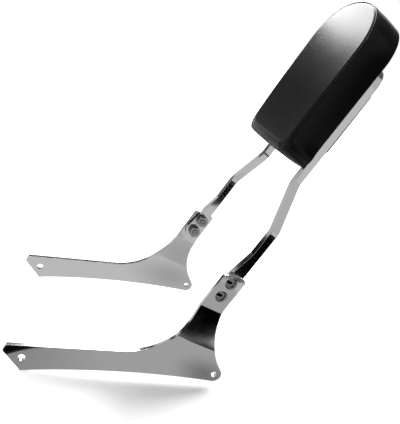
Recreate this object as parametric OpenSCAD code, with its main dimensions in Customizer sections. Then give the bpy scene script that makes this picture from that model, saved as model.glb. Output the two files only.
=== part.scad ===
// Passenger backrest for a motorbike: two cranked fender plates, a square-bar hoop and a pad.
// Millimetres. +Z up, -Y towards the front wheel, +X the rider's left.
// The origin is midway between the two rear mounting holes.
// Side view terms: s runs aft across the leaning hoop, v runs up along it, both from the joint's centre.

/* [Side plates] */
// Distance between the front and the rear mounting hole
hole_span = 270; // [220:1:320]
// Distance over the outer faces of the two plates' arms
arms_w = 276; // [240:1:320]
// Thickness of the plate steel
plate_t = 6; // [4:0.5:8]
// Diameter of the front mounting holes
front_hole_d = 10.5; // [8.5:0.5:13]
// Diameter of the rear mounting holes
rear_hole_d = 8.5; // [6.5:0.5:11]
// Radius of the rounded lower ear round the rear hole
ear_r = 11.5; // [9:0.5:14]
// Height of the arm's upper edge above the front hole
arm_top = 19; // [16:1:26]
// Rise of the arm's upper edge towards the rear, in degrees
arm_rise = 2.4; // [0:0.2:4]
// Length of the arm in front of the front hole
nose_len = 26; // [22:1:32]
// Radius of the upper edge's sweep into the tongue
sweep_r = 105; // [80:1:130]
// Radius of the waist behind the tongue
waist_r = 96; // [70:1:120]
// Radius of the hollow along the lower edge
under_r = 1280; // [1000:10:1800]
// Width of the tongue that carries the hoop
tongue_w = 34; // [30:1:40]
// How far the tongue stands inboard of the arm
joggle = 14; // [8:1:20]
// Angle of the two bends that make this step, in degrees
joggle_angle = 15; // [12:1:25]
// Slope of the two bend lines, in degrees
bend_slope = 18; // [12:1:24]
// Inner radius of the bends
bend_r = 2; // [1:0.5:4]

/* [Hoop] */
// Angle by which the hoop leans back, in degrees
lean = 23.9; // [15:0.1:30]
// Side of the square bar
bar = 11.1; // [10:0.1:14]
// Distance over the legs behind the pad
hoop_w = 162; // [140:1:180]
// Height of the hoop's top above the joint
hoop_top = 368; // [350:1:400]
// Inner radius of the hoop's two top corners
top_corner_r = 17; // [8:1:22]
// Height of the lower bend of the legs above the joint
crank_low = 106; // [90:1:120]
// Height of the upper bend of the legs above the joint
crank_high = 173; // [155:1:185]
// Inner radius of the leg bends
crank_r = 10; // [6:1:20]
// How far the bar's centre stands aft of the joint's bolts
bar_aft = 3.5; // [0:0.5:6]
// Height above the joint at which the bar has its full thickness
shoulder_v = 27; // [26.5:0.5:32]
// Length over which the bar's front flares into the foot
flare_len = 36; // [20:1:50]
// Radius of the foot's lower end
foot_r = 15; // [12:0.5:16.5]
// Radius of the foot's upper end
foot_top_r = 12; // [10:0.5:14]

/* [Joint bolts] */
// Height of the joint's centre above the mounting holes
joint_z = 130.3; // [120:0.1:145]
// Distance of the joint's centre in front of the rear holes
joint_fwd = 10.6; // [0:0.1:20]
// Distance between the two bolts of a joint
bolt_gap = 23.2; // [21:0.1:27]
// Thread diameter of the joint bolts
bolt_d = 10; // [8:1:10]
// Gap round the bolt in its holes
bolt_play = 0.25; // [0.1:0.05:0.5]
// Distance by which the bolt stands out of its nut
bolt_end = 2.5; // [1:0.5:5]

/* [Pad] */
// Width of the pad
pad_w = 174; // [165:1:200]
// Height of the pad's bottom above the joint
pad_bottom = 195; // [185:1:205]
// Height of the pad's top above the joint
pad_top = 435; // [410:1:460]
// Thickness of the pad at its crown
pad_depth = 54; // [45:1:65]
// Radius of the pad's lower corners
pad_low_r = 16; // [14:1:30]
// Radius of the pad's upper corners
pad_high_r = 42; // [30:1:55]
// Radius of the arch along the pad's top
pad_arch_r = 190; // [150:5:260]
// Radius of the arch along the pad's bottom
pad_belly_r = 330; // [250:10:500]
// Radius of the front face's crown
crown_r = 700; // [500:10:1200]
// Thickness of the vinyl cover
cover_t = 1.2; // [1:0.1:2]
// Width of the cover's turned-in edge on the back
lip_w = 14; // [10:1:15]
// Thickness of the base board
board_t = 9; // [8:0.5:14]
// How far the board's edge stands in from the pad's edge
board_inset = 8; // [4:0.5:10]

/* [Clamp plate] */
// Width of the clamp plate behind the hoop
clamp_w = 156; // [145:1:160]
// Height of the clamp plate
clamp_h = 100; // [80:1:120]
// Thickness of the clamp plate
clamp_t = 3; // [2:0.5:5]
// Distance of the clamp plate's centre below the hoop's top
clamp_drop = 87; // [76:1:98]
// Distance between the screws across the pad
screw_gap_u = 90; // [60:1:105]
// Distance between the screws along the pad
screw_gap_v = 60; // [40:1:70]
// Thread diameter of the pad screws
screw_d = 6; // [5:1:6]

/* [Hidden] */
$fn = 96;

chrome = [0.78, 0.79, 0.80];
vinyl = [0.06, 0.06, 0.06];

// Cutting tools run this far past what they cut
over = 20;
// Running space between soft pieces and between threads
soft_gap = 0.3;
thread_gap = 0.05;

joint = [-joint_fwd, joint_z];
aft = [cos(lean), -sin(lean)];
up = [sin(lean), cos(lean)];
arm_x = arms_w / 2 - plate_t;
tongue_x = arm_x - joggle;
tongue_out = tongue_x + plate_t;

// Front end of the arm
nose_top_h = 18;
nose_tip_h = 9;
nose_chin_h = 20;
nose_back = 4;
nose_corner_r = 3;

// The tongue's top edge slants, and its corners are rounded
tongue_top_v = 22.5;
tongue_slant = 12;
tongue_corner_r = 4;

// Where the lower bend line crosses the tongue's root
bend_y = -39.2;
bend_z = 47;

// Joint hardware, in shares of the thread that such fasteners have
bolt_r = bolt_d / 2;
head_r = bolt_d * 0.875;
head_h = bolt_d * 0.55;
socket_r = bolt_d * 0.6 / sqrt(3);
socket_h = bolt_d * 0.3;
washer_r = bolt_d;
washer_t = 2;
nut_r = bolt_d * 1.7 / sqrt(3);
nut_h = bolt_d * 0.8;
stack_in = tongue_out - bar;

// Pad and clamp hardware
screw_r = screw_d / 2;
screw_play = 0.3;
screw_washer_t = 1.6;
tee_wall = 1.1;
tee_flange_r = 9;
tee_flange_t = 1.5;
back_s = bar_aft - bar / 2;
clamp_s = bar_aft + bar / 2;
clamp_v = hoop_top - clamp_drop;
back_step = cover_t + soft_gap;
board_front = back_step + board_t;
screw_end = board_front - 1;

// Point of the side view at s, v from the joint's centre
function side(s, v) = joint + s * aft + v * up;
function dot(a, b) = a[0] * b[0] + a[1] * b[1];
function unit(a) = a / norm(a);
function flip(a) = [-a[0], a[1]];

// Places children in the hoop's frame: x across, y aft (s), z up the hoop (v)
module hoop_frame() {
    translate([0, joint[0], joint[1]]) rotate([-lean, 0, 0]) children();
}

// Turns a drawing of a side view (y, z) into a solid with its thickness along x
module sideways() {
    rotate([90, 0, 90]) children();
}

// What lies between a corner at p and the arc that rounds it: taken away from an outward corner,
// added in an inward one. The corner's edges leave p along d1 and d2.
module corner_piece(p, d1, d2, r) {
    half = acos(dot(d1, d2)) / 2;
    run = r / tan(half);
    mid = (d1 + d2) / norm(d1 + d2);
    centre = p + mid * r / sin(half);
    right = p + run * (cross(d1, d2) > 0 ? d1 : d2) - centre;
    left = p + run * (cross(d1, d2) > 0 ? d2 : d1) - centre;
    difference() {
        polygon([centre, centre + 1.5 * left, p - mid * r / 2, centre + 1.5 * right]);
        translate(centre) circle(r = r);
    }
}

// Two discs joined by their outer tangents: the lower at [0, 0], the upper at [0, span]
module taper_link(r_low, r_high, span) {
    a = asin((r_low - r_high) / span);
    circle(r = r_low);
    translate([0, span]) circle(r = r_high);
    polygon([r_low * [-cos(a), sin(a)], r_low * [cos(a), sin(a)],
             [0, span] + r_high * [cos(a), sin(a)], [0, span] + r_high * [-cos(a), sin(a)]]);
}

// Outline of the plate in the side view
module plate_outline() {
    rise = [cos(arm_rise), sin(arm_rise)];
    rise_n = [-sin(arm_rise), cos(arm_rise)];
    edge = [-hole_span, arm_top];

    // Sweep: tangent to the arm's upper edge and to the tongue's front edge
    sweep_s = -tongue_w / 2 - sweep_r;
    sweep_v = (sweep_r - dot(side(sweep_s, 0) - edge, rise_n)) / dot(up, rise_n);
    sweep_c = side(sweep_s, sweep_v);
    sweep_low = sweep_c - sweep_r * rise_n;
    sweep_high = side(-tongue_w / 2, sweep_v);

    // Waist: tangent to the ear and to the tongue's rear edge
    ear_s = dot(-joint, aft);
    ear_v = dot(-joint, up);
    waist_s = tongue_w / 2 + waist_r;
    waist_v = ear_v + sqrt(pow(waist_r + ear_r, 2) - pow(waist_s - ear_s, 2));
    waist_c = side(waist_s, waist_v);

    // Hollow of the lower edge: tangent to the ear
    under_y = -0.35 * hole_span;
    under_c = [under_y, -sqrt(pow(under_r + ear_r, 2) - pow(under_y, 2))];
    ear_under = unit(under_c) * 2 * ear_r;

    nose_top = [-hole_span - nose_len + nose_back, nose_top_h];
    nose_tip = [-hole_span - nose_len, nose_tip_h];
    chin = [-hole_span, -nose_chin_h];
    slant = tan(tongue_slant) * tongue_w / 2;
    top_front = side(-tongue_w / 2, tongue_top_v - slant);
    top_rear = side(tongue_w / 2, tongue_top_v + slant);

    difference() {
        union() {
            polygon([chin, ear_under, [0, 0], waist_c, side(tongue_w / 2, waist_v), top_rear, top_front,
                     sweep_high, sweep_c, sweep_low, nose_top, nose_tip]);
            circle(r = ear_r);
        }
        translate(sweep_c) circle(r = sweep_r, $fn = 360);
        translate(waist_c) circle(r = waist_r, $fn = 360);
        translate(under_c) circle(r = under_r, $fn = 720);
        corner_piece(nose_top, unit(nose_tip - nose_top), rise, nose_corner_r);
        corner_piece(nose_tip, unit(nose_top - nose_tip), unit(chin - nose_tip), nose_corner_r);
        corner_piece(top_front, unit(top_rear - top_front), -up, tongue_corner_r);
        corner_piece(top_rear, unit(top_front - top_rear), -up, tongue_corner_r);
        circle(d = rear_hole_d);
        translate([-hole_span, 0]) circle(d = front_hole_d);
        for (end = [-1, 1]) translate(side(0, end * bolt_gap / 2)) circle(r = bolt_r + bolt_play);
    }
}

// Section of the folded strip that the plate is cut from: arm, sloping web and tongue
module fold_section() {
    reach = 2 * hole_span;
    run = joggle / tan(joggle_angle);
    skew = plate_t * tan(joggle_angle / 2);
    web = [cos(joggle_angle), -sin(joggle_angle)];
    out_r = bend_r + plate_t;
    difference() {
        union() {
            polygon([[-reach, 0], [0, 0], [run, -joggle], [reach, -joggle], [reach, plate_t - joggle],
                     [run + skew, plate_t - joggle], [skew, plate_t], [-reach, plate_t]]);
            corner_piece([0, 0], [-1, 0], web, bend_r);
            corner_piece([run + skew, plate_t - joggle], [1, 0], -web, bend_r);
        }
        corner_piece([skew, plate_t], [-1, 0], web, out_r);
        corner_piece([run, -joggle], [1, 0], -web, out_r);
    }
}

module side_plate() {
    color(chrome) translate([arm_x, 0, 0]) sideways() intersection() {
        translate([0, 0, -joggle - over]) linear_extrude(plate_t + joggle + 2 * over) plate_outline();
        translate([bend_y, bend_z]) rotate(-bend_slope) sideways() translate([0, 0, -2 * hole_span])
            linear_extrude(4 * hole_span) fold_section();
    }
}

module side_plate_left() {
    side_plate();
}

module side_plate_right() {
    mirror([1, 0, 0]) side_plate();
}

// The hoop's front view (across, up), with the foot's thickness below the shoulder
module hoop_front() {
    half = bar / 2;
    low = [tongue_out - half, crank_low];
    high = [hoop_w / 2 - half, crank_high];
    crank = atan2(low[0] - high[0], high[1] - low[1]);
    shift = half * [1, tan(crank / 2)];
    along = [-sin(crank), cos(crank)];
    foot = [[tongue_x, -over - foot_r], [tongue_x, shoulder_v], [tongue_out, shoulder_v]];
    out = [low + shift, high + shift, [hoop_w / 2, hoop_top]];
    in = [[stack_in, -over - foot_r], low - shift, high - shift, [hoop_w / 2 - bar, hoop_top - bar]];
    difference() {
        union() {
            polygon(concat(foot, out, [for (i = [2:-1:0]) flip(out[i])], [for (i = [2:-1:0]) flip(foot[i])],
                           [for (i = [0:3]) flip(in[i])], [for (i = [3:-1:0]) in[i]]));
            for (turn = [0, 1]) mirror([turn, 0]) {
                corner_piece(in[1], [0, -1], along, crank_r);
                corner_piece(out[1], [0, 1], -along, crank_r);
                corner_piece(in[3], [-1, 0], [0, -1], top_corner_r);
            }
        }
        for (turn = [0, 1]) mirror([turn, 0]) {
            corner_piece(out[0], [0, -1], along, crank_r + bar);
            corner_piece(in[2], [0, 1], -along, crank_r + bar);
            corner_piece(out[2], [-1, 0], [0, -1], top_corner_r + bar);
        }
    }
}

// The hoop's side view (aft, up): the bar, its flare and the rounded foot with its two bolt holes
module hoop_side() {
    difference() {
        union() {
            translate([0, -bolt_gap / 2]) taper_link(foot_r, foot_top_r, bolt_gap);
            polygon([[clamp_s, bolt_gap / 2], [clamp_s, hoop_top + over], [back_s, hoop_top + over],
                     [back_s, shoulder_v + flare_len], [-foot_top_r, bolt_gap / 2]]);
        }
        for (end = [-1, 1]) translate([0, end * bolt_gap / 2]) circle(r = bolt_r + bolt_play);
    }
}

module hoop_bar() {
    color(chrome) hoop_frame() intersection() {
        translate([0, 2 * over, 0]) rotate([90, 0, 0]) linear_extrude(4 * over) hoop_front();
        translate([-arms_w, 0, 0]) sideways() linear_extrude(2 * arms_w) hoop_side();
    }
}

// Button-head bolt along +x, with the head's seat at x = 0 and the head on the +x side
module button_bolt(r, r_head, h_head, r_socket, h_socket, length) {
    ball = (r_head * r_head + h_head * h_head) / (2 * h_head);
    rotate([0, 90, 0]) difference() {
        union() {
            intersection() {
                translate([0, 0, h_head - ball]) sphere(r = ball);
                cylinder(r = r_head, h = h_head);
            }
            translate([0, 0, -length]) cylinder(r = r, h = length + 1);
        }
        translate([0, 0, h_head - h_socket]) cylinder(r = r_socket, h = h_socket + 1, $fn = 6);
    }
}

module flat_washer(r_in, r_out, t) {
    rotate([0, 90, 0]) difference() {
        cylinder(r = r_out, h = t);
        translate([0, 0, -1]) cylinder(r = r_in, h = t + 2);
    }
}

// Hexagon nut along x, its corners turned back by a cone at both ends
module hex_nut(r_in, r_out, h) {
    bevel = r_out * 0.08;
    rotate([0, 90, 0]) intersection() {
        cylinder(r = r_out, h = h, $fn = 6);
        rotate_extrude() polygon([[r_in, 0], [r_out - bevel, 0], [r_out + bevel, bevel],
                                  [r_out + bevel, h - bevel], [r_out - bevel, h], [r_in, h]]);
    }
}

// Places children at one joint bolt: side is 1 on the left, -1 on the right; end is 1 above, -1 below
module at_bolt(side, end) {
    mirror([side < 0 ? 1 : 0, 0, 0]) hoop_frame() translate([0, 0, end * bolt_gap / 2]) children();
}

module joint_bolt(side, end) {
    grip = bar + washer_t + nut_h + bolt_end;
    color(chrome) at_bolt(side, end) translate([tongue_out, 0, 0])
        button_bolt(bolt_r, head_r, head_h, socket_r, socket_h, grip);
}

module joint_washer(side, end) {
    color(chrome) at_bolt(side, end) translate([stack_in - washer_t, 0, 0])
        flat_washer(bolt_r + bolt_play, washer_r, washer_t);
}

module joint_nut(side, end) {
    color(chrome) at_bolt(side, end) translate([stack_in - washer_t - nut_h, 0, 0])
        hex_nut(bolt_r + thread_gap, nut_r, nut_h);
}

// What the pad's two corners round c lose, between its straight sides and the arch about [0, arch_c]
module pad_corners(c, arch_c, r) {
    ray = (r + over) * unit(c - [0, arch_c]);
    path = [c, c + [r + over, 0], c + [r + over, ray[1]], c + ray];
    for (turn = [0, 1]) mirror([turn, 0]) difference() {
        polygon(ray[1] > 0 ? path : [for (i = [3:-1:0]) path[i]]);
        translate(c) circle(r = r);
    }
}

// Outline of the pad seen from the front, drawn inset by the amount given
module pad_outline(inset) {
    half = pad_w / 2;
    top_c = pad_top - pad_arch_r;
    top_u = half - pad_high_r;
    top_v = top_c + sqrt(pow(pad_arch_r - pad_high_r, 2) - top_u * top_u);
    low_c = pad_bottom + pad_belly_r;
    low_u = half - pad_low_r;
    low_v = low_c - sqrt(pow(pad_belly_r - pad_low_r, 2) - low_u * low_u);
    difference() {
        intersection() {
            translate([inset - half, pad_bottom - over]) square([pad_w - 2 * inset, pad_top + over]);
            translate([0, top_c]) circle(r = pad_arch_r - inset, $fn = 360);
            translate([0, low_c]) circle(r = pad_belly_r - inset, $fn = 360);
        }
        pad_corners([top_u, top_v], top_c, pad_high_r - inset);
        pad_corners([low_u, low_v], low_c, pad_low_r - inset);
    }
}

// Slab of the pad between two depths, counted forward from the pad's back
module pad_slab(inset, deep0, deep1) {
    translate([0, back_s - deep0, 0]) rotate([90, 0, 0]) linear_extrude(deep1 - deep0) pad_outline(inset);
}

// Body with a crowned front: inset all round by the amount given, from depth deep0 forward
module pad_body(inset, deep0) {
    intersection() {
        pad_slab(inset, deep0, pad_depth + over);
        translate([0, back_s - pad_depth + crown_r, (pad_bottom + pad_top) / 2]) sphere(r = crown_r - inset, $fn = 360);
    }
}

module pad_cover() {
    color(vinyl) hoop_frame() difference() {
        pad_body(0, soft_gap);
        pad_body(cover_t, back_step);
        pad_slab(lip_w, -1, back_step + 1);
    }
}

// The foam reaches round the board's edge
module pad_foam() {
    color([0.75, 0.72, 0.55]) hoop_frame() difference() {
        pad_body(cover_t + soft_gap, back_step + soft_gap);
        pad_slab(board_inset - soft_gap, 0, board_front);
    }
}

// Places children at one pad screw, with x pointing forward into the pad and x = 0 on the pad's back
module at_screw(index) {
    across = index % 2 == 0 ? -1 : 1;
    along = index < 2 ? -1 : 1;
    hoop_frame() translate([across * screw_gap_u / 2, back_s, clamp_v + along * screw_gap_v / 2])
        rotate([0, 0, -90]) children();
}

module pad_board() {
    color([0.16, 0.14, 0.12]) difference() {
        hoop_frame() {
            pad_slab(board_inset, back_step, board_front);
            pad_slab(lip_w + soft_gap, 0, back_step + 1);
        }
        for (index = [0:3]) at_screw(index) rotate([0, 90, 0]) {
            translate([0, 0, -1]) cylinder(r = screw_r + tee_wall + screw_play, h = board_front + 2);
            translate([0, 0, board_front - tee_flange_t]) cylinder(r = tee_flange_r + screw_play, h = tee_flange_t + 1);
        }
    }
}

module clamp_plate() {
    corner = 6;
    color(chrome) difference() {
        hoop_frame() translate([0, clamp_s + clamp_t, clamp_v]) rotate([90, 0, 0]) linear_extrude(clamp_t) {
            square([clamp_w - 2 * corner, clamp_h], center = true);
            square([clamp_w, clamp_h - 2 * corner], center = true);
            for (x = [-1, 1]) for (y = [-1, 1]) translate([x * (clamp_w / 2 - corner), y * (clamp_h / 2 - corner)])
                circle(r = corner);
        }
        for (index = [0:3]) at_screw(index) translate([-bar - clamp_t - 1, 0, 0]) rotate([0, 90, 0])
            cylinder(r = screw_r + screw_play, h = clamp_t + 2);
    }
}

module pad_screw(index) {
    grip = screw_washer_t + clamp_t + bar + screw_end;
    color(chrome) at_screw(index) translate([-bar - clamp_t - screw_washer_t, 0, 0]) mirror([1, 0, 0])
        button_bolt(screw_r, screw_d * 0.875, screw_d * 0.55, screw_d * 0.6 / sqrt(3), screw_d * 0.3, grip);
}

module screw_washer(index) {
    color(chrome) at_screw(index) translate([-bar - clamp_t - screw_washer_t, 0, 0])
        flat_washer(screw_r + screw_play, screw_d, screw_washer_t);
}

module tee_nut(index) {
    color([0.72, 0.68, 0.5]) at_screw(index) rotate([0, 90, 0]) difference() {
        union() {
            translate([0, 0, back_step]) cylinder(r = screw_r + tee_wall, h = board_front - back_step);
            translate([0, 0, board_front - tee_flange_t]) cylinder(r = tee_flange_r, h = tee_flange_t);
        }
        translate([0, 0, -1]) cylinder(r = screw_r + thread_gap, h = board_front + 2);
    }
}

side_plate_left();
side_plate_right();
hoop_bar();
joint_bolt(1, 1);  // bolt_left_upper
joint_bolt(1, -1);  // bolt_left_lower
joint_bolt(-1, 1);  // bolt_right_upper
joint_bolt(-1, -1);  // bolt_right_lower
joint_washer(1, 1);  // washer_left_upper
joint_washer(1, -1);  // washer_left_lower
joint_washer(-1, 1);  // washer_right_upper
joint_washer(-1, -1);  // washer_right_lower
joint_nut(1, 1);  // nut_left_upper
joint_nut(1, -1);  // nut_left_lower
joint_nut(-1, 1);  // nut_right_upper
joint_nut(-1, -1);  // nut_right_lower
clamp_plate();
pad_board();
pad_foam();
pad_cover();
pad_screw(0);  // pad_screw_1
pad_screw(1);  // pad_screw_2
pad_screw(2);  // pad_screw_3
pad_screw(3);  // pad_screw_4
screw_washer(0);  // screw_washer_1
screw_washer(1);  // screw_washer_2
screw_washer(2);  // screw_washer_3
screw_washer(3);  // screw_washer_4
tee_nut(0);  // tee_nut_1
tee_nut(1);  // tee_nut_2
tee_nut(2);  // tee_nut_3
tee_nut(3);  // tee_nut_4
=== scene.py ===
"""Passenger backrest for a motorbike: the dressed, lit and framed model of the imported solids."""
import logging
import math
from abc import ABC, abstractmethod
from dataclasses import dataclass
from enum import Enum
from functools import cache
from typing import Any, Dict, List, Optional, Sequence, Tuple, Union

import bmesh
import bpy
import numpy as np
from mathutils import Matrix, Vector


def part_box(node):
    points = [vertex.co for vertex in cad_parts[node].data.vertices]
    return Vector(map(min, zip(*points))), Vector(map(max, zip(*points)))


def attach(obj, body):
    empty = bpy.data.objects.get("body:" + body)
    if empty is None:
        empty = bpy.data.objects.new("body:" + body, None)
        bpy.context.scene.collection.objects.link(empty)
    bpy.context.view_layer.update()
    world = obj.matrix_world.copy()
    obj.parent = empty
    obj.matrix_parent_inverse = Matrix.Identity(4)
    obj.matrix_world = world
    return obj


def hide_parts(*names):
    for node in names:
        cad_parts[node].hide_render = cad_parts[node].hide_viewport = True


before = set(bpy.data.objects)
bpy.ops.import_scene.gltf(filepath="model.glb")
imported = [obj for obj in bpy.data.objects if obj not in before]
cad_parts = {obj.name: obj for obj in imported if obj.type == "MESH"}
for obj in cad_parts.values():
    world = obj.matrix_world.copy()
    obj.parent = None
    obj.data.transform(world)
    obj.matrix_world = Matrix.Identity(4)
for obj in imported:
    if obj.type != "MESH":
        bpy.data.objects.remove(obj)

log = logging.getLogger("backrest")

Array = np.ndarray
Pair = Tuple[float, float]
Point = Tuple[float, float, float]
Colour = Tuple[float, float, float]
Number = Union[int, float]
Operand = Union["Sock", Number]
Values = Union[float, Array]

MM = 0.001
BLACK: Colour = (0.0, 0.0, 0.0)
WHITE: Colour = (1.0, 1.0, 1.0)
EDGE_SAMPLES = 6


class Op(Enum):
    """Arithmetic that a Math node does on two sockets or one."""

    ADD = "ADD"
    SUBTRACT = "SUBTRACT"
    MULTIPLY = "MULTIPLY"
    DIVIDE = "DIVIDE"
    ABSOLUTE = "ABSOLUTE"
    FRACTION = "FRACT"
    ARCTANGENT = "ARCTAN2"
    MAXIMUM = "MAXIMUM"
    MINIMUM = "MINIMUM"
    SQUARE_ROOT = "SQRT"


class Ray(Enum):
    """Kind of ray that meets a surface, as an output of the Light Path node."""

    CAMERA = "Is Camera Ray"
    GLOSSY = "Is Glossy Ray"
    TRANSMISSION = "Is Transmission Ray"


class BoltRow(Enum):
    """Which of a joint's two bolts, as its side of the joint's middle along the hoop."""

    UPPER = 1
    LOWER = -1


class Sock:
    """An output socket of a shader node, with arithmetic that adds Math nodes."""

    def __init__(self, bench: "Bench", out: bpy.types.NodeSocket) -> None:
        """Keep the socket and the bench that owns its node tree.

        Args:
            bench: the node tree's builder.
            out: the output socket that is wrapped.
        """
        self.bench = bench
        self.out = out

    def __add__(self, other: Operand) -> "Sock":
        """Sum of the two values."""
        return self.bench.math(Op.ADD, self, other)

    def __radd__(self, other: Number) -> "Sock":
        """Sum of the two values."""
        return self.bench.math(Op.ADD, other, self)

    def __sub__(self, other: Operand) -> "Sock":
        """First value less the second."""
        return self.bench.math(Op.SUBTRACT, self, other)

    def __rsub__(self, other: Number) -> "Sock":
        """First value less the second."""
        return self.bench.math(Op.SUBTRACT, other, self)

    def __mul__(self, other: Operand) -> "Sock":
        """Product of the two values."""
        return self.bench.math(Op.MULTIPLY, self, other)

    def __rmul__(self, other: Number) -> "Sock":
        """Product of the two values."""
        return self.bench.math(Op.MULTIPLY, other, self)

    def __truediv__(self, other: Operand) -> "Sock":
        """First value divided by the second."""
        return self.bench.math(Op.DIVIDE, self, other)

    def __abs__(self) -> "Sock":
        """The value without its sign."""
        return self.bench.math(Op.ABSOLUTE, self)


class Bench:
    """Builds one node tree: every node comes from the one method `add`."""

    def __init__(self, tree: bpy.types.NodeTree) -> None:
        """Keep the tree, emptied.

        Args:
            tree: the node tree of a material or of the world.
        """
        self.tree = tree
        tree.nodes.clear()

    def add(self, kind: str, settings: Optional[Dict[str, Any]] = None, **inputs: Any) -> bpy.types.Node:
        """Add a node.

        Args:
            kind: the node's type name.
            settings: attributes of the node, set before its sockets.
            **inputs: values or sockets by input name, with _ for a space, or i0, i1 by place.

        Returns:
            The node.
        """
        made = self.tree.nodes.new(kind)
        for key, value in (settings or {}).items():
            setattr(made, key, value)
        for key, value in inputs.items():
            by_place = key[0] == "i" and key[1:].isdigit()
            self.feed(made.inputs[int(key[1:]) if by_place else key.replace("_", " ")], value)
        return made

    def node(self, kind: str, settings: Optional[Dict[str, Any]] = None, take: Union[int, str] = 0,
             **inputs: Any) -> Sock:
        """One output of a new node.

        Args:
            kind: the node's type name.
            settings: attributes of the node, set before its sockets.
            take: the output that is handed back.
            **inputs: values or sockets, as for `add`.

        Returns:
            The wrapped output socket.
        """
        return Sock(self, self.add(kind, settings, **inputs).outputs[take])

    def feed(self, socket: bpy.types.NodeSocket, value: Any) -> None:
        """Link a wrapped socket to an input, or set the input's value.

        Args:
            socket: the input.
            value: a wrapped socket, a number, a colour or a vector.
        """
        if isinstance(value, Sock):
            self.tree.links.new(value.out, socket)
        elif socket.type == "RGBA":
            socket.default_value = (*value, 1.0)
        else:
            socket.default_value = value

    def math(self, op: Op, a: Operand, b: Operand = 0.0) -> Sock:
        """Arithmetic on two values.

        Args:
            op: what is done.
            a: first value.
            b: second value, where the operation has one.

        Returns:
            The result's socket.
        """
        return self.node("ShaderNodeMath", {"operation": op.value}, i0=a, i1=b)

    def clamp(self, value: Sock) -> Sock:
        """The value held between 0 and 1."""
        return self.math(Op.MINIMUM, 1.0, self.math(Op.MAXIMUM, 0.0, value))

    def split(self, where: Sock) -> Tuple[Sock, Sock, Sock]:
        """The three parts of a vector."""
        x, y, z = self.add("ShaderNodeSeparateXYZ", i0=where).outputs
        return Sock(self, x), Sock(self, y), Sock(self, z)

    def ray(self, kind: Ray) -> Sock:
        """1 for one kind of ray and 0 for the others."""
        return self.node("ShaderNodeLightPath", take=kind.value)

    def length(self, where: Sock) -> Sock:
        """The length of a vector."""
        return self.node("ShaderNodeVectorMath", {"operation": "LENGTH"}, take="Value", i0=where)

    def blend(self, share: Operand, first: Any, second: Any) -> Sock:
        """Colour between two colours, by the Mix node's colour sockets.

        Args:
            share: 0 gives the first colour and 1 the second.
            first: colour or socket.
            second: colour or socket.

        Returns:
            The mixed colour.
        """
        return self.node("ShaderNodeMix", {"data_type": "RGBA"}, take=2, i0=share, i6=first, i7=second)

    def place(self, centre: Point = (0.0, 0.0, 0.0), stretch: Point = (1.0, 1.0, 1.0)) -> Sock:
        """Object coordinates, moved and stretched.

        Args:
            centre: the point that becomes the pattern's origin, in metres.
            stretch: scale along each axis.

        Returns:
            The vector socket.
        """
        where = self.node("ShaderNodeTexCoord", take="Object")
        return self.node("ShaderNodeMapping", {"vector_type": "TEXTURE"}, Vector=where,
                         Location=centre, Scale=tuple(1 / s for s in stretch))

    def noise(self, where: Sock, scale: float, octaves: float = 2.0, rough: float = 0.5) -> Sock:
        """Noise from 0 to 1.

        Args:
            where: the coordinates.
            scale: cells a metre.
            octaves: layers of ever finer noise.
            rough: share of the finer layers.

        Returns:
            The noise's value.
        """
        return self.node("ShaderNodeTexNoise", Vector=where, Scale=scale, Detail=octaves, Roughness=rough)

    def rounded(self, radius: float) -> Sock:
        """Normal that rounds the edges by a radius in metres."""
        return self.node("ShaderNodeBevel", {"samples": EDGE_SAMPLES}, Radius=radius)

    def bump(self, height: Sock, depth: float, under: Optional[Sock] = None) -> Sock:
        """Normal with a relief.

        Args:
            height: relief from 0 to 1.
            depth: metres that 1 stands for.
            under: a normal that the relief is laid on.

        Returns:
            The normal's socket.
        """
        extra = {} if under is None else {"Normal": under}
        return self.node("ShaderNodeBump", Strength=1.0, Distance=depth, Height=height, **extra)


class PaintBench(Bench):
    """Builds one material's node tree round its Principled shader."""

    def __init__(self, name: str) -> None:
        """Make a material with a shader and an output.

        Args:
            name: the material's name.
        """
        self.material = bpy.data.materials.new(name)
        self.material.use_nodes = True
        super().__init__(self.material.node_tree)
        self.shader = self.add("ShaderNodeBsdfPrincipled")
        self.add("ShaderNodeOutputMaterial", Surface=Sock(self, self.shader.outputs[0]))

    def surface(self, **values: Any) -> None:
        """Set the shader's sockets.

        Args:
            **values: values or sockets by input name, with _ for a space.
        """
        for key, value in values.items():
            self.feed(self.shader.inputs[key.replace("_", " ")], value)


def scaled(colour: Colour, by: float) -> Colour:
    """The colour made brighter or darker by a factor."""
    return tuple(c * by for c in colour)


class Finish(ABC):
    """A surface finish that is one material."""

    name: str

    @abstractmethod
    def paint(self, b: PaintBench) -> None:
        """Set the new material's shader sockets on its bench."""

    @cache
    def material(self) -> bpy.types.Material:
        """The finish's material, made when it is first asked for.

        Returns:
            The material, the same one for an equal finish.
        """
        b = PaintBench(self.name)
        self.paint(b)
        return b.material


@dataclass(frozen=True)
class ChromeFinish(Finish):
    """Bright chrome plate: mirror-like, with the faint unevenness of polished steel under it."""

    name: str = "chrome_plate"
    colour: Colour = (0.40, 0.40, 0.404)
    brighter: float = 1.06
    cloud_scale: float = 14.0
    fine_scale: float = 420.0
    ripple_scale: float = 22.0
    ripple_depth: float = 0.22 * MM
    polish: float = 0.055
    cloud_haze: float = 0.035
    fine_haze: float = 0.02
    edge: float = 0.8 * MM

    def paint(self, b: PaintBench) -> None:
        """Polish that varies in soft clouds, a slow ripple in the surface and softened edges.

        Args:
            b: the new material's bench.
        """
        where = b.place()
        cloud = b.noise(where, self.cloud_scale, octaves=3.0)
        fine = b.noise(where, self.fine_scale)
        ripple = b.noise(where, self.ripple_scale, octaves=1.0)
        b.surface(
            Base_Color=b.blend(cloud, self.colour, scaled(self.colour, self.brighter)),
            Metallic=1.0,
            Roughness=self.polish + self.cloud_haze * cloud + self.fine_haze * fine,
            Normal=b.bump(ripple, self.ripple_depth, b.rounded(self.edge)),
        )


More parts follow.
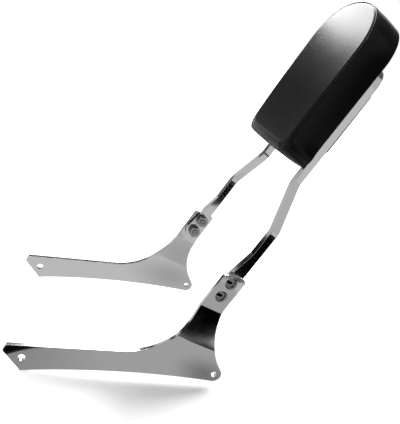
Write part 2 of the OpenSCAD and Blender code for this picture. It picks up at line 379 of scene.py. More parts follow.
@dataclass(frozen=True)
class PressedPlateFinish(Finish):
    """Chrome-plated pressed plate that is dark near its two side edges, most so low down."""

    half_w: float
    foot_z: float
    head_z: float
    name: str = "pressed_plate"
    colour: Colour = (0.40, 0.40, 0.404)
    # dark tone near either side edge, darkest low down
    dark_edge: Colour = (0.010, 0.010, 0.011)
    dark_edge_w: float = 0.6 * MM
    dark_edge_fade: float = 0.2 * MM
    bright_from: float = 0.35
    bright_over: float = 0.5
    bright_share: float = 0.75
    cloud_scale: float = 30.0
    relief: float = 0.08 * MM
    polish: float = 0.06
    cloud_haze: float = 0.04
    dark_edge_haze: float = 0.25
    edge: float = 0.5 * MM

    def paint(self, b: PaintBench) -> None:
        """Chrome, blended to a dark tone near either side edge; higher up, most of it is chrome again.

        Args:
            b: the new material's bench.
        """
        where = b.place()
        x, _, z = b.split(where)
        side = b.clamp((abs(x) - (self.half_w - self.dark_edge_w)) / self.dark_edge_fade)
        up = b.clamp((z - self.foot_z) / (self.head_z - self.foot_z))
        bright = b.clamp((up - self.bright_from) / self.bright_over)
        dark = side * (1.0 - self.bright_share * bright)
        cloud = b.noise(where, self.cloud_scale, octaves=3.0)
        b.surface(
            Base_Color=b.blend(dark, self.colour, self.dark_edge),
            Metallic=1.0,
            Roughness=self.polish + self.cloud_haze * cloud + self.dark_edge_haze * dark,
            Normal=b.bump(cloud, self.relief, b.rounded(self.edge)),
        )


@dataclass(frozen=True)
class ThreadedFinish(Finish):
    """Plated bolt: chrome head, darkened as painted shade, and a thread cut into the shank round a given axis
    along X.
    """

    name: str
    axis: Pair
    shank: float
    head_x: float = 123.6 * MM
    pitch: float = 1.5 * MM
    depth: float = 0.7 * MM
    reach: float = 0.4 * MM
    fade: float = 0.3 * MM
    # darker than the other chrome: painted shade for the dark reflections on the bolt heads
    colour: Colour = (0.15, 0.15, 0.152)
    cut: Colour = (0.22, 0.22, 0.225)
    cloud_scale: float = 60.0
    polish: float = 0.07
    cloud_haze: float = 0.06
    cut_haze: float = 0.16
    edge: float = 0.4 * MM

    def paint(self, b: PaintBench) -> None:
        """Thread inboard of the head, where the distance from the axis is within the shank's radius.

        Its ridges are twice the distance of x / pitch + turn from the middle of a whole turn.

        Args:
            b: the new material's bench.
        """
        x, y, z = b.split(b.place(centre=(0.0, *self.axis)))
        off = b.math(Op.SQUARE_ROOT, y * y + z * z)
        turn = b.math(Op.ARCTANGENT, z, y) / math.tau
        ridge = abs(b.math(Op.FRACTION, x / self.pitch + turn) - 0.5) * 2.0
        near = b.clamp((self.shank + self.reach - off) / self.fade)
        inboard = b.clamp((self.head_x - abs(x)) / self.fade)
        threaded = near * inboard
        cloud = b.noise(b.place(), self.cloud_scale)
        b.surface(
            Base_Color=b.blend(threaded, self.colour, self.cut),
            Metallic=1.0,
            Roughness=self.polish + self.cloud_haze * cloud + self.cut_haze * threaded,
            Normal=b.bump(ridge * threaded, self.depth, b.rounded(self.edge)),
        )


@dataclass(frozen=True)
class SteelFinish(Finish):
    """Zinc-plated steel of nuts and washers: greyer than chrome, with turning marks."""

    name: str = "plated_steel"
    colour: Colour = (0.30, 0.30, 0.305)
    dull: Colour = (0.19, 0.19, 0.195)
    cloud_scale: float = 90.0
    grain_scale: float = 900.0
    grain_stretch: Point = (1.0, 6.0, 6.0)
    grain_depth: float = 0.04 * MM
    polish: float = 0.20
    cloud_haze: float = 0.14
    edge: float = 0.4 * MM

    def paint(self, b: PaintBench) -> None:
        """Grey metal with a fine grain and cloudy plating.

        Args:
            b: the new material's bench.
        """
        cloud = b.noise(b.place(), self.cloud_scale, octaves=3.0)
        grain = b.noise(b.place(stretch=self.grain_stretch), self.grain_scale)
        b.surface(
            Base_Color=b.blend(cloud, self.colour, self.dull),
            Metallic=1.0,
            Roughness=self.polish + self.cloud_haze * cloud,
            Normal=b.bump(grain, self.grain_depth, b.rounded(self.edge)),
        )


@dataclass(frozen=True)
class VinylFinish(Finish):
    """Black upholstery vinyl: smooth, with a very fine leather grain."""

    name: str = "black_vinyl"
    colour: Colour = (0.0020, 0.0020, 0.0022)
    brighter: float = 1.5
    cell_scale: float = 900.0
    pore_scale: float = 2400.0
    cell_share: float = 0.7
    grain_depth: float = 0.05 * MM
    cloud_scale: float = 18.0
    gloss: float = 0.20
    cloud_haze: float = 0.06
    shine: float = 0.08

    def paint(self, b: PaintBench) -> None:
        """Fine pebbled grain, and a gloss that varies slowly.

        Args:
            b: the new material's bench.
        """
        where = b.place()
        cells = b.node("ShaderNodeTexVoronoi", {"feature": "SMOOTH_F1"}, Vector=where, Scale=self.cell_scale)
        pores = b.noise(where, self.pore_scale)
        grain = cells * self.cell_share + pores * (1.0 - self.cell_share)
        cloud = b.noise(where, self.cloud_scale, octaves=3.0)
        b.surface(
            Base_Color=b.blend(cloud, self.colour, scaled(self.colour, self.brighter)),
            Roughness=self.gloss + self.cloud_haze * cloud,
            Specular_IOR_Level=self.shine,
            Normal=b.bump(grain, self.grain_depth),
        )


@dataclass(frozen=True)
class ThreadFinish(Finish):
    """Black bonded sewing thread."""

    name: str = "sewing_thread"
    colour: Colour = (0.006, 0.006, 0.0065)
    worn: Colour = (0.014, 0.014, 0.015)
    strand_scale: float = 900.0
    strand_depth: float = 0.08 * MM
    tone_scale: float = 300.0
    haze: float = 0.55
    worn_haze: float = 0.15

    def paint(self, b: PaintBench) -> None:
        """Twisted strands as fine slanted ridges.

        Args:
            b: the new material's bench.
        """
        where = b.place()
        strands = b.node("ShaderNodeTexWave", {"bands_direction": "DIAGONAL"}, Vector=where,
                         Scale=self.strand_scale)
        tone = b.noise(where, self.tone_scale)
        b.surface(
            Base_Color=b.blend(tone, self.colour, self.worn),
            Roughness=self.haze + self.worn_haze * tone,
            Normal=b.bump(strands, self.strand_depth),
        )


@dataclass(frozen=True)
class BoardFinish(Finish):
    """Dark fibre board that the cover is wrapped round."""

    name: str = "fibre_board"
    colour: Colour = (0.020, 0.018, 0.016)
    fibre: Colour = (0.075, 0.062, 0.050)
    fibre_scale: float = 260.0
    fibre_stretch: Point = (1.0, 8.0, 8.0)
    fibre_depth: float = 0.12 * MM
    speck_scale: float = 1500.0
    haze: float = 0.70
    speck_haze: float = 0.2

    def paint(self, b: PaintBench) -> None:
        """Pressed fibres: short streaks, with specks that are duller.

        Args:
            b: the new material's bench.
        """
        fibres = b.noise(b.place(stretch=self.fibre_stretch), self.fibre_scale, octaves=4.0, rough=0.7)
        specks = b.noise(b.place(), self.speck_scale)
        b.surface(
            Base_Color=b.blend(fibres, self.colour, self.fibre),
            Roughness=self.haze + self.speck_haze * specks,
            Normal=b.bump(fibres, self.fibre_depth),
        )


@dataclass(frozen=True)
class FoamFinish(Finish):
    """Open-cell foam inside the pad."""

    name: str = "pad_foam"
    colour: Colour = (0.62, 0.58, 0.42)
    fresh: Colour = (0.72, 0.69, 0.55)
    cell_scale: float = 700.0
    cell_depth: float = 0.4 * MM
    cloud_scale: float = 25.0
    haze: float = 0.85
    cloud_haze: float = 0.1

    def paint(self, b: PaintBench) -> None:
        """Small cells, a little yellowed in clouds.

        Args:
            b: the new material's bench.
        """
        where = b.place()
        cells = b.node("ShaderNodeTexVoronoi", Vector=where, Scale=self.cell_scale)
        cloud = b.noise(where, self.cloud_scale)
        b.surface(
            Base_Color=b.blend(cloud, self.colour, self.fresh),
            Roughness=self.haze + self.cloud_haze * cloud,
            Normal=b.bump(cells, self.cell_depth),
        )


@dataclass(frozen=True)
class YellowZincFinish(Finish):
    """Yellow-passivated zinc of the tee nuts."""

    name: str = "yellow_zinc"
    colour: Colour = (0.42, 0.36, 0.20)
    greenish: Colour = (0.36, 0.37, 0.27)
    cloud_scale: float = 160.0
    polish: float = 0.26
    cloud_haze: float = 0.12

    def paint(self, b: PaintBench) -> None:
        """Yellowish metal with iridescent clouds.

        Args:
            b: the new material's bench.
        """
        cloud = b.noise(b.place(), self.cloud_scale, octaves=3.0)
        b.surface(
            Base_Color=b.blend(cloud, self.colour, self.greenish),
            Metallic=1.0,
            Roughness=self.polish + self.cloud_haze * cloud,
        )


class Shell:
    """Mesh pieces from numpy grids."""

    @staticmethod
    def grid(rows: int, cols: int, closed_rows: bool, closed_cols: bool) -> Array:
        """Quads of a grid of points numbered row by row.

        Args:
            rows: number of rows.
            cols: number of points in a row.
            closed_rows: the last row joins the first.
            closed_cols: the last point of a row joins its first.

        Returns:
            Quads as an (n, 4) array of point numbers.
        """
        i = np.arange(rows if closed_rows else rows - 1)[:, None]
        j = np.arange(cols if closed_cols else cols - 1)[None, :]
        i2, j2 = (i + 1) % rows, (j + 1) % cols
        quads = np.stack([i * cols + j, i * cols + j2, i2 * cols + j2, i2 * cols + j], -1)
        return quads.reshape(-1, 4)

    @staticmethod
    def caps(rows: int, cols: int) -> Array:
        """The faces that close the first and the last row, as a (2, cols) array of point numbers."""
        ring = np.arange(cols)
        return np.stack([ring[::-1], ring + (rows - 1) * cols])

    @staticmethod
    def piece(name: str, points: Array, faces: List[List[int]], rounded: bool) -> bpy.types.Object:
        """Object at the origin from points in metres.

        Args:
            name: the piece's name.
            points: array of points, in any number of rows.
            faces: point numbers of each face.
            rounded: shade it as a rounded surface.

        Returns:
            The object, linked to the scene.
        """
        mesh = bpy.data.meshes.new(name)
        mesh.from_pydata(points.reshape(-1, 3).tolist(), [], faces)
        mesh.update()
        mesh.polygons.foreach_set("use_smooth", [rounded] * len(mesh.polygons))
        made = bpy.data.objects.new(name, mesh)
        bpy.context.scene.collection.objects.link(made)
        return made

    @classmethod
    def flat(cls, name: str, points: Array, faces: List[List[int]]) -> bpy.types.Object:
        """Flat sheet from points in metres."""
        return cls.piece(name, points, faces, False)

    @classmethod
    def closed(cls, name: str, points: Array, faces: List[List[int]]) -> bpy.types.Object:
        """Closed rounded piece, with every face turned outwards.

        Args:
            name: the piece's name.
            points: array of points, in any number of rows.
            faces: point numbers of each face.

        Returns:
            The object, linked to the scene.
        """
        made = cls.piece(name, points, faces, True)
        work = bmesh.new()
        work.from_mesh(made.data)
        bmesh.ops.recalc_face_normals(work, faces=work.faces)
        work.to_mesh(made.data)
        work.free()
        return made

    @classmethod
    def ringed(cls, name: str, rings: Array) -> bpy.types.Object:
        """Closed piece of rings joined in their order, with the first and the last ring filled.

        Args:
            name: the piece's name.
            rings: (n, m, 3) array in metres.

        Returns:
            The object, linked to the scene.
        """
        n, m = rings.shape[:2]
        return cls.closed(name, rings, cls.grid(n, m, False, True).tolist() + cls.caps(n, m).tolist())


def smooth_step(x: Array) -> Array:
    """Rise from 0 to 1 with level ends: 3x^2 - 2x^3 of x held between 0 and 1."""
    x = np.clip(x, 0.0, 1.0)
    return x * x * (3 - 2 * x)


@dataclass(frozen=True)
class HoopFrame:
    """The leaning hoop's frame: u across, s aft and v up along the hoop, in millimetres."""

    lean: float = 23.9
    joint_fwd: float = 10.6
    joint_z: float = 130.3

    def metres(self, u: Values, s: Values, v: Values) -> Array:
        """Points in metres: y = -fwd + s cos + v sin and z = joint_z - s sin + v cos of the lean.

        Args:
            u: across.
            s: aft.
            v: up along the hoop.

        Returns:
            (..., 3) array in the row's frame.
        """
        a = math.radians(self.lean)
        y = -self.joint_fwd + s * math.cos(a) + v * math.sin(a)
        z = self.joint_z - s * math.sin(a) + v * math.cos(a)
        return np.stack(np.broadcast_arrays(u, y, z), -1) * MM


@dataclass(frozen=True)
class Loop:
    """A closed path in u and v, read by the length run along it."""

    points: Array

    def run(self) -> Array:
        """The length run at each point, and once more at the first."""
        steps = np.linalg.norm(np.roll(self.points, -1, 0) - self.points, axis=1)
        return np.concatenate([[0.0], np.cumsum(steps)])

    def at(self, want: Array) -> Array:
        """Points at the wanted lengths, on straight lines between the path's own.

        Args:
            want: lengths along the path, from 0 to its whole length.

        Returns:
            (..., 2) array of u, v.
        """
        run, loop = self.run(), np.vstack([self.points, self.points[:1]])
        return np.stack([np.interp(want, run, loop[:, k]) for k in range(2)], -1)

    def outward(self) -> Array:
        """Normals of a counter-clockwise path, each square to the line between a point's neighbours.

        Returns:
            (n, 2) array of unit normals.
        """
        ahead = np.roll(self.points, -1, 0) - np.roll(self.points, 1, 0)
        ahead /= np.linalg.norm(ahead, axis=1, keepdims=True)
        return np.stack([ahead[:, 1], -ahead[:, 0]], -1)

    def moved_in(self, inset: Values) -> Array:
        """The path's points moved in along its normals.

        Args:
            inset: a distance, or one for each point, in any number of rows.

        Returns:
            (..., n, 2) array of u, v.
        """
        return self.points - self.outward() * np.asarray(inset)[..., None]


@dataclass(frozen=True)
class PadForm:
    """The pad's outline, band and seam, which all its pieces follow, in millimetres."""

    hoop: HoopFrame = HoopFrame()
    half_w: float = 89.2
    top: float = 432.0
    bottom: float = 195.0
    arch_r: float = 150.0
    belly_r: float = 3000.0
    high_r: float = 66.0
    low_r: float = 22.0
    arc_points: int = 64
    around: int = 480
    back_s: float = -2.05
    seam_s: float = -49.8
    low_bow: float = 4.0
    high_bow: float = -2.0
    foot_draw: float = 0.4
    side_draw: float = 5.8
    side_from: float = 0.16
    head_ease: float = 4.2
    head_from: float = 0.60

    def rim(self) -> Loop:
        """Closed outline of the pad, counter-clockwise from the middle of the bottom.

        The bottom arch, a small corner, a straight side, a large corner and the top arch follow one
        another, each with the direction of its neighbour where they meet. The left half mirrors them,
        and the points are then spread evenly by length.

        Returns:
            The outline with `around` points.
        """
        high_u, low_u = self.half_w - self.high_r, self.half_w - self.low_r
        arch_v, belly_v = self.top - self.arch_r, self.bottom + self.belly_r
        high_v = arch_v + math.sqrt((self.arch_r - self.high_r) ** 2 - high_u ** 2)
        low_v = belly_v - math.sqrt((self.belly_r - self.low_r) ** 2 - low_u ** 2)
        low_a = math.atan2(low_v - belly_v, low_u)
        high_a = math.atan2(high_v - arch_v, high_u)
        arcs = np.array([
            (0.0, belly_v, self.belly_r, -math.pi / 2, low_a),
            (low_u, low_v, self.low_r, low_a, 0.0),
            (high_u, high_v, self.high_r, 0.0, high_a),
            (0.0, arch_v, self.arch_r, high_a, math.pi / 2),
        ])
        u, v, r = arcs.T[:3, :, None]
        a = np.linspace(arcs[:, 3], arcs[:, 4], self.arc_points, axis=1)
        right = np.stack([u + r * np.cos(a), v + r * np.sin(a)], -1).reshape(-1, 2)
        left = right[::-1] * [-1, 1]
        whole = Loop(np.concatenate([right, left[1:-1]]))
        return Loop(whole.at(np.linspace(0.0, whole.run()[-1], self.around, endpoint=False)))

    def middle(self, up: float = 0.0) -> Array:
        """The outline's middle in u and v, moved up by a distance."""
        return np.array([0.0, (self.top + self.bottom) / 2 + up])

    def height(self, v: Array) -> Array:
        """Height over the bottom as a share of the pad's height."""
        return (v - self.bottom) / (self.top - self.bottom)

    def draw(self, v: Array) -> Array:
        """How far the side band is drawn in at the back: least at the bottom, and less again at the top.

        It grows from the foot's draw by a smooth step on the first stretch and eases by one on the last.

        Args:
            v: places along the hoop.

        Returns:
            The inset at each place.
        """
        up = self.height(v)
        ease = smooth_step((up - self.head_from) / (1.0 - self.head_from))
        return self.foot_draw + self.side_draw * smooth_step(up / self.side_from) - self.head_ease * ease

    def seam(self, v: Array) -> Array:
        """Depth of the sewn edge: it leaves the middle's depth as a square towards either end.

        Args:
            v: places along the hoop.

        Returns:
            The depth s at each place.
        """
        along = np.clip(2 * self.height(v) - 1, -1, 1)
        return self.seam_s + np.where(along < 0, self.low_bow, self.high_bow) * along ** 2


@dataclass(frozen=True)
class Cover:
    """The vinyl cover: flat back, rolled back edge, side band, sewn bead and crowned face."""

    form: PadForm
    back_gap: float = 0.1
    back_shares: Tuple[float, ...] = (0.02, 0.3, 0.6, 0.86)
    roll_r: float = 2.2
    roll_rings: int = 7
    band_bulge: float = 0.9
    band_rings: int = 15
    bead_w: float = 0.9
    bead_h: float = 0.8
    bead_rings: int = 9
    middle_up: float = 6.0
    shoulder_end: float = 0.12
    shoulder_rings: int = 18
    face_end: float = 0.98
    face_rings: int = 24
    shoulder_w: float = 0.11
    shoulder_w_less: float = 0.08
    shoulder_h: float = 4.25
    shoulder_h_less: float = 2.55
    crown: float = 1.2

    def build(self) -> bpy.types.Object:
        """The whole cover as one closed surface.

        Rings run from the back's middle out over the rolled back edge, forward along the side band,
        over the sewn bead and in over the crowned face. The roll is a quarter circle. The band's inset
        falls evenly to the seam, less half a sine wave by which it bulges. The bead is half an ellipse.

        Returns:
            The cover.
        """
        form = self.form
        rim, middle = form.rim(), form.middle(self.middle_up)
        draw, edge = form.draw(rim.points[:, 1]), form.seam(rim.points[:, 1])
        back = form.back_s - self.back_gap
        inner = rim.moved_in(draw + self.roll_r + self.back_gap)
        shares = np.array(self.back_shares)[:, None, None]
        roll = np.linspace(0.0, math.pi / 2, self.roll_rings)[:, None]
        band = np.linspace(0.0, 1.0, self.band_rings)[1:, None]
        bead = np.linspace(0.0, math.pi, self.bead_rings)[1:, None]
        start = rim.moved_in(self.bead_w)
        inward = np.concatenate([
            np.linspace(0.0, self.shoulder_end, self.shoulder_rings)[1:],
            np.linspace(self.shoulder_end, self.face_end, self.face_rings)[1:],
        ])[:, None]
        face = middle + (start - middle) * (1 - inward)[..., None]
        band_s = back - self.roll_r
        stretches = (
            # the flat back
            (middle + (inner - middle) * shares, np.full((len(self.back_shares), 1), back)),
            # the rolled back edge
            (rim.moved_in(draw + self.roll_r * (1 - np.sin(roll))), back - self.roll_r * (1 - np.cos(roll))),
            # the side band
            (rim.moved_in(draw * (1 - band) - self.band_bulge * np.sin(math.pi * band)),
             band_s + (edge - band_s) * band),
            # the sewn bead
            (rim.moved_in(self.bead_w * (1 - np.cos(bead)) / 2), edge - self.bead_h * np.sin(bead)),
            # the crowned face
            (face, self.face_depth(inward, face[..., 1])),
        )
        flat = np.concatenate([place for place, _ in stretches])
        depth = np.concatenate([np.broadcast_to(s, place.shape[:2]) for place, s in stretches])
        return Shell.ringed("pad_upholstery", form.hoop.metres(flat[..., 0], depth, flat[..., 1]))

    def face_depth(self, inward: Array, v: Array) -> Array:
        """Depth of the face: the seam's, less the shoulder and the crown.

        The shoulder rises as a quarter wave on the first stretch, which is wide and high at the pad's
        bottom and narrow and low at its top. The crown rises evenly to the middle.

        Args:
            inward: share of the way from the seam to the middle.
            v: places along the hoop.

        Returns:
            The depth s at each place.
        """
        up = np.clip(self.form.height(v), 0, 1)
        rise = np.sin(np.clip(inward / (self.shoulder_w - self.shoulder_w_less * up), 0, 1) * math.pi / 2)
        shoulder = (self.shoulder_h - self.shoulder_h_less * up) * rise
        return self.form.seam(v) - shoulder - self.crown * inward


@dataclass(frozen=True)
class SewnEdge:
    """The thin folded cord that is sewn in between the face and the side band."""

    form: PadForm
    radius: float = 0.9
    inset: float = 0.2
    proud: float = 0.3
    sides: int = 12

    def build(self) -> bpy.types.Object:
        """A circle carried round the face's rim, square to it.

        Returns:
            The cord.
        """
        form = self.form
        rim = Loop(form.rim().moved_in(self.inset))
        turn = np.linspace(0.0, math.tau, self.sides, endpoint=False)
        out = self.radius * np.cos(turn)
        flat = rim.points[:, None] + rim.outward()[:, None] * out[:, None]
        depth = form.seam(rim.points[:, 1])[:, None] - self.proud + self.radius * np.sin(turn)
        points = form.hoop.metres(flat[..., 0], depth, flat[..., 1])
        return Shell.closed("pad_seam_cord", points, Shell.grid(form.around, self.sides, True, True).tolist())


@dataclass(frozen=True)
class StitchRow:
    """The row of stitches on the side band beside the sewn edge."""

    form: PadForm
    proud: float = 0.25
    behind: float = 3.0
    pitch: float = 4.6
    length: float = 3.3
    lift: float = 0.32
    sunk: float = 0.12
    radius: float = 0.28
    blunt: float = 0.06
    rings: int = 7
    sides: int = 6

    def build(self) -> bpy.types.Object:
        """Short capsules whose ends dip into the vinyl.

        A stitch stands over the band by a sine of the share of its length, less its sunk depth, and
        its radius is the root of that sine, cut off before the ends.

        Returns:
            The row as one piece.
        """
        form = self.form
        loop = Loop(form.rim().moved_in(-self.proud))
        whole = loop.run()[-1]
        count = int(whole / self.pitch)
        share = np.linspace(0.0, 1.0, self.rings)
        turn = np.linspace(0.0, math.tau, self.sides, endpoint=False)
        start = np.arange(count)[:, None] * whole / count
        centre = loop.at((start + self.length * share) % whole)
        ahead = np.gradient(centre, axis=1)
        ahead /= np.linalg.norm(ahead, axis=2, keepdims=True)
        outward = np.stack([ahead[..., 1], -ahead[..., 0]], -1)
        lift = self.lift * np.sin(math.pi * share) - self.sunk
        thick = self.radius * np.sqrt(np.sin(math.pi * np.clip(share, self.blunt, 1 - self.blunt)))
        out = lift[:, None] + thick[:, None] * np.cos(turn)
        flat = centre[:, :, None] + outward[:, :, None] * out[..., None]
        depth = form.seam(flat[..., 1]) + self.behind + thick[:, None] * np.sin(turn)
        points = form.hoop.metres(flat[..., 0], depth, flat[..., 1])
        first = np.arange(count)[:, None, None] * (self.rings * self.sides)
        tubes = (Shell.grid(self.rings, self.sides, False, True) + first).reshape(-1, 4)
        caps = (Shell.caps(self.rings, self.sides) + first).reshape(-1, self.sides)
        return Shell.closed("pad_stitching", points, tubes.tolist() + caps.tolist())


@dataclass(frozen=True)
class BackPanel:
    """The board's raised middle, which lies against the hoop inside the cover's turned-in edge."""

    form: PadForm
    lip: float = 11.0
    sunk: float = 1.4
    chamfer: float = 0.25
    shares: Tuple[float, ...] = (0.9, 0.5, 0.05)

    def build(self) -> bpy.types.Object:
        """A plate with a small chamfer: rings from its foot over the chamfer and in to its middle.

        Returns:
            The panel.
        """
        form = self.form
        rim, middle = form.rim(), form.middle()
        edge = rim.moved_in(form.draw(rim.points[:, 1]) + self.lip)
        rings = [edge, edge, Loop(edge).moved_in(self.chamfer)]
        flat = np.stack(rings + [middle + (edge - middle) * share for share in self.shares])
        depth = np.full((len(flat), 1), form.back_s)
        depth[:2, 0] -= self.sunk, self.chamfer
        return Shell.ringed("pad_back_panel", form.hoop.metres(flat[..., 0], depth, flat[..., 1]))


@dataclass(frozen=True)
class Cushion:
    """The upholstered pad, in place of the plain solids of its cover, foam and board."""

    form: PadForm = PadForm()

    def build(self) -> List[bpy.types.Object]:
        """Build and dress the cover, its sewn edge, the stitches and the back panel.

        Returns:
            The pieces.
        """
        cover = Cover(self.form).build()
        edge = SewnEdge(self.form).build()
        thread = StitchRow(self.form).build()
        panel = BackPanel(self.form).build()
        vinyl = VinylFinish()
        finishes = ((cover, vinyl), (edge, vinyl), (thread, ThreadFinish()), (panel, BoardFinish()))
        for piece, finish in finishes:
            piece.data.materials.append(finish.material())
            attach(piece, "root")
        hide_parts("pad_cover", "pad_foam")
        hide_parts("pad_board")
        return [piece for piece, _ in finishes]


@dataclass(frozen=True)
class Dresser:
    """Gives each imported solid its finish."""

    hoop: HoopFrame
    bolt_gap: float = 23.2
    shank: float = 5.0 * MM

    def bolt(self, row: BoltRow) -> ThreadedFinish:
        """Finish of the upper or the lower pair of bolts.

        Args:
            row: which pair it is.

        Returns:
            The finish, with its thread round that pair's axis.
        """
        _, y, z = self.hoop.metres(0.0, 0.0, row.value * self.bolt_gap / 2)
        return ThreadedFinish(f"bolt_{row.name.lower()}_thread", (float(y), float(z)), self.shank)

    def rules(self) -> Dict[str, Finish]:
        """The finish for each start of a node's name.

        Returns:
            Finishes by the start of a name, of which the first that fits holds.
        """
        low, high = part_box("clamp_plate")
        chrome, steel = ChromeFinish(), SteelFinish()
        return {
            "bolt_left_upper": self.bolt(BoltRow.UPPER),
            "bolt_right_upper": self.bolt(BoltRow.UPPER),
            "bolt_": self.bolt(BoltRow.LOWER),
            "side_plate": chrome,
            "hoop_bar": chrome,
            "pad_screw": chrome,
            "clamp_plate": PressedPlateFinish(high[0], low[2], high[2]),
            "nut_": steel,
            "washer_": steel,
            "screw_washer": steel,
            "tee_nut": YellowZincFinish(),
            "pad_board": BoardFinish(),
            "pad_foam": FoamFinish(),
            "pad_cover": VinylFinish(),
        }

    def dress(self) -> Dict[str, str]:
        """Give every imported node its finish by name.

        Returns:
            The finish's name for each node.
        """
        rules = self.rules()
        dressed = {}
        for name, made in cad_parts.items():
            finish = next(finish for start, finish in rules.items() if name.startswith(start))
            made.data.materials.clear()
            made.data.materials.append(finish.material())
            dressed[name] = finish.name
        return dressed


def rect(low_a: float, high_a: float, low_b: float, high_b: float) -> Tuple[Pair, ...]:
    """Corners of a rectangle in order, from its two spans."""
    return (low_a, low_b), (high_a, low_b), (high_a, high_b), (low_a, high_b)


def upright(x: float, outline: Sequence[Pair]) -> Tuple[Point, ...]:
    """Corners of a card that stands square to X, from its outline in y and z."""
    return tuple((x, y, z) for y, z in outline)


def level(z: float, outline: Sequence[Pair]) -> Tuple[Point, ...]:
    """Corners of a card that lies level, from its outline in x and y."""
    return tuple((x, y, z) for x, y in outline)


@dataclass(frozen=True)
class Dip:
    """Soft darker spot of painted shadow on a card: its centre, its reach and the share of glow left in its
    middle.
    """

    centre: Point
    reach: float
    left: float


@dataclass(frozen=True)
class Card:
    """Card that only glossy surfaces can see, as a photographer hangs beside bright metal.

    Its glow is 0 for a black card and 1 for one as bright as the white room.
    """

    name: str
    corners: Tuple[Point, ...]
    glow: float = 0.0
    dips: Tuple[Dip, ...] = ()
    mottle_scale: float = 9.0
    mottle: Colour = (0.97, 0.97, 0.97)

    def hang(self) -> bpy.types.Object:
        """Build the card with its glow, mottled a little and less within its dips.

        Returns:
            The card, linked to the scene.
        """
        made = Shell.flat(self.name, np.array(self.corners), [list(range(len(self.corners)))])
        b = PaintBench(self.name)
        tone = b.blend(b.noise(b.place(), self.mottle_scale, octaves=1.0), self.mottle, WHITE)
        for dip in self.dips:
            share = b.node("ShaderNodeMapRange", {"interpolation_type": "SMOOTHSTEP"},
                           Value=b.length(b.place(centre=dip.centre)), From_Min=0.0, From_Max=dip.reach)
            dim = b.blend(share, scaled(WHITE, dip.left), WHITE)
            tone = b.node("ShaderNodeVectorMath", {"operation": "MULTIPLY"}, i0=tone, i1=dim)
        b.surface(Base_Color=BLACK, Roughness=1.0, Specular_IOR_Level=0.0, Emission_Color=tone,
                  Emission_Strength=self.glow)
        made.data.materials.append(b.material)
        made.visible_camera = made.visible_diffuse = False
        made.visible_shadow = made.visible_transmission = False
        return made


@dataclass(frozen=True)
class FloorFinish(Finish):
    """Pale floor with painted light: a glow that only the camera sees whitens it away from a spot by the near
    plate's rear end, so the part's shadow shows only there.
    """

    name: str = "pale_floor"
    colour: Colour = (0.95, 0.95, 0.95)
    paler: Colour = (0.96, 0.96, 0.96)
    mottle_scale: float = 3.0
    haze: float = 0.9
    # strength of the painted light that whitens the floor for the camera
    lift: float = 0.5
    shadow_at: Point = (0.17, -0.04, 0.0)
    shadow_r: float = 0.06
    shadow_fade: float = 0.17

    def paint(self, b: PaintBench) -> None:
        """Mottled paint, with painted light: a glow for camera rays that grows with the distance from the
        kept shadow and paints out the part's shadow farther away.

        Args:
            b: the new material's bench.
        """
        mottle = b.noise(b.place(), self.mottle_scale)
        away = b.length(b.place(centre=self.shadow_at))
        painted_light = b.clamp((away - self.shadow_r) / self.shadow_fade)
        b.surface(
            Base_Color=b.blend(mottle, self.colour, self.paler),
            Roughness=self.haze,
            Specular_IOR_Level=0.0,
            Emission_Strength=self.lift,
            Emission_Color=b.blend(painted_light * b.ray(Ray.CAMERA), BLACK, WHITE),
        )


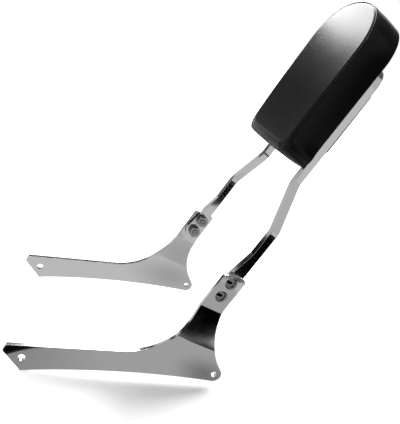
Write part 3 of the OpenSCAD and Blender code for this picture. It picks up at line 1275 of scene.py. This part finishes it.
@dataclass(frozen=True)
class Studio:
    """Floor, lights, cards and camera."""

    lens_px: float = 555.5
    width_px: int = 400
    sensor: float = 36.0
    eye: Point = (0.790, -0.249, 0.472)
    right: Point = (0.1711, 0.9586, 0.2276)
    down: Point = (0.3617, 0.1538, -0.9195)
    floor_z: float = -21.5 * MM
    floor_half: float = 14.0
    floor_points: int = 5
    fill: float = 0.72
    key_from: Point = (-0.50, 0.66, 0.56)
    key_spread: float = 28.0
    key_strength: float = 2.8

    def camera(self) -> bpy.types.Object:
        """Camera at the photograph's place, from its right, down and forward directions.

        Returns:
            The camera.
        """
        data = bpy.data.cameras.new("camera")
        data.sensor_fit = "HORIZONTAL"
        data.sensor_width = self.sensor
        data.lens = self.lens_px / self.width_px * self.sensor
        made = bpy.data.objects.new("camera", data)
        x = Vector(self.right).normalized()
        y = -Vector(self.down)
        y = (y - x * y.dot(x)).normalized()
        turn = Matrix((x, y, x.cross(y))).transposed().to_4x4()
        made.matrix_world = Matrix.Translation(Vector(self.eye)) @ turn
        bpy.context.scene.collection.objects.link(made)
        bpy.context.scene.camera = made
        return made

    def floor(self) -> bpy.types.Object:
        """Large level floor.

        Returns:
            The floor, linked to the scene.
        """
        side = np.linspace(-self.floor_half, self.floor_half, self.floor_points)
        x, y = np.meshgrid(side, side, indexing="ij")
        points = np.stack([x, y, np.full_like(x, self.floor_z)], -1)
        faces = Shell.grid(self.floor_points, self.floor_points, False, False).tolist()
        made = Shell.flat("floor", points, faces)
        made.data.materials.append(FloorFinish().material())
        return made

    def sky(self) -> bpy.types.World:
        """Even world that the camera, metal and glass see as white, and that fills with less.

        Returns:
            The world.
        """
        world = bpy.data.worlds.new("studio")
        world.use_nodes = True
        b = Bench(world.node_tree)
        mirrored = b.math(Op.MAXIMUM, b.ray(Ray.GLOSSY), b.ray(Ray.TRANSMISSION))
        seen = b.math(Op.MAXIMUM, b.ray(Ray.CAMERA), mirrored)
        fill = b.node("ShaderNodeBackground", Color=WHITE, Strength=self.fill)
        white = b.node("ShaderNodeBackground", Color=WHITE, Strength=1.0)
        b.add("ShaderNodeOutputWorld", Surface=b.node("ShaderNodeMixShader", i0=seen, i1=fill, i2=white))
        bpy.context.scene.world = world
        return world

    def key(self) -> bpy.types.Object:
        """Distant soft light, even over the whole floor, whose spread softens the shadow.

        Returns:
            The light.
        """
        data = bpy.data.lights.new("key", "SUN")
        data.angle = math.radians(self.key_spread)
        data.energy = self.key_strength
        made = bpy.data.objects.new("key", data)
        made.rotation_euler = Vector(self.key_from).to_track_quat("Z", "Y").to_euler()
        made.visible_glossy = False
        bpy.context.scene.collection.objects.link(made)
        return made

    def cards(self) -> List[Card]:
        """The cards, each where a piece of metal or the vinyl mirrors it towards the camera.

        Returns:
            The cards.
        """
        low, under = self.floor_z + 0.5 * MM, self.floor_z + 0.4 * MM
        softbox_x, shade_x, spot_x = -1.30, -1.31, -1.29
        return [
            # on the far side
            Card("pad_softbox", upright(softbox_x, (
                (-0.55, 1.13), (0.05, 0.765), (0.8, 0.765), (0.8, 1.9), (-1.1, 1.9), (-1.1, 1.13))),
                glow=14.0),
            Card("pad_shade", upright(shade_x, (
                (-0.58, 0.42), (1.0, 0.42), (1.0, 1.25), (-1.5, 1.25), (-1.5, 0.85), (-0.58, 0.85))),
                glow=0.15),
            Card("under_shade", upright(shade_x, rect(0.15, 1.8, low, 0.42))),
            Card("far_leg_shade", upright(spot_x, rect(-0.58, -0.38, 0.0, 0.29)), glow=0.25),
            Card("near_leg_shade", upright(spot_x, rect(-1.1, -0.62, 0.0, 0.29))),
            Card("foot_shade", upright(spot_x, rect(-1.0, -0.70, 0.42, 0.56))),
            # on the near side, about the camera
            Card("camera_shade", upright(1.3, rect(-1.4, 0.25, 0.12, 1.6))),
            Card("web_shade_high", upright(1.0, rect(0.10, 0.43, low, 0.2))),
            Card("leg_shade", upright(0.30, rect(0.06, 0.1125, 0.06, 0.168))),
            Card("band_shade", ((1.0, 0.76, low), (0.6, 1.92, low), (0.6, 1.92, 1.6), (1.0, 0.76, 0.45))),
            Card("head_shade", (
                (0.10, -0.5, 0.12), (0.75, -0.5, 0.12), (0.75, -0.28, 0.5), (0.10, -0.28, 0.5))),
            # behind the part
            Card("back_shade", (
                (-1.9, 2.0, 0.9), (0.62, 2.0, 0.9), (0.62, 2.0, 2.4), (-1.9, 2.0, 2.4)), glow=0.2),
            # on the floor
            Card("web_floor_shade", level(low, (
                (0.48, 0.08), (0.95, 0.28), (0.95, 0.355), (0.80, 0.325), (0.48, 0.32)))),
            Card("pad_floor_shade", level(low, rect(-0.9, -0.25, 0.05, 0.45))),
            Card("nose_shade", level(low, (
                (0.24, -0.36), (0.1708, -0.36), (0.1708, -0.2935), (0.1726, -0.2897), (0.1780, -0.2810),
                (0.1828, -0.2734), (0.1916, -0.2577), (0.1999, -0.2357), (0.2043, -0.2202),
                (0.24, -0.2202)))),
            # painted light and shade: these two cards are the floor that the plates mirror; the near one is
            # dimmer, the far one hides the shadow under the far plate, and their dips are painted shadow
            # under each plate
            Card("near_floor", level(under, (
                (0.1395, -0.40), (0.46, -0.40), (0.46, 0.12), (0.30, 0.12), (0.30, 0.04), (0.1395, 0.04))),
                glow=0.82, dips=(Dip((0.165, -0.003, under), reach=0.06, left=0.5),
                                 Dip((0.18, -0.30, under), reach=0.17, left=0.7))),
            Card("far_floor", level(under, rect(-0.134, 0.02, -0.34, 0.07)),
                 glow=1.2, dips=(Dip((-0.06, -0.015, under), reach=0.11, left=0.68),)),
        ]

    def build(self) -> List[bpy.types.ID]:
        """Build the whole studio.

        Returns:
            Everything that was made.
        """
        bpy.context.scene.view_settings.view_transform = "Standard"
        made = [self.camera(), self.floor(), self.sky(), self.key()]
        return made + [card.hang() for card in self.cards()]


def main() -> None:
    """Build the studio and every piece."""
    logging.basicConfig(level=logging.INFO, format="%(name)s %(message)s")
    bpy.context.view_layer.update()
    for made in Studio().build():
        log.info("studio: %s", made.name)
    form = PadForm()
    for name, finish in Dresser(form.hoop).dress().items():
        log.info("%s: %s", name, finish)
    for piece in Cushion(form).build():
        log.info("%s: %d faces", piece.name, len(piece.data.polygons))


if __name__ == "__main__":
    main()
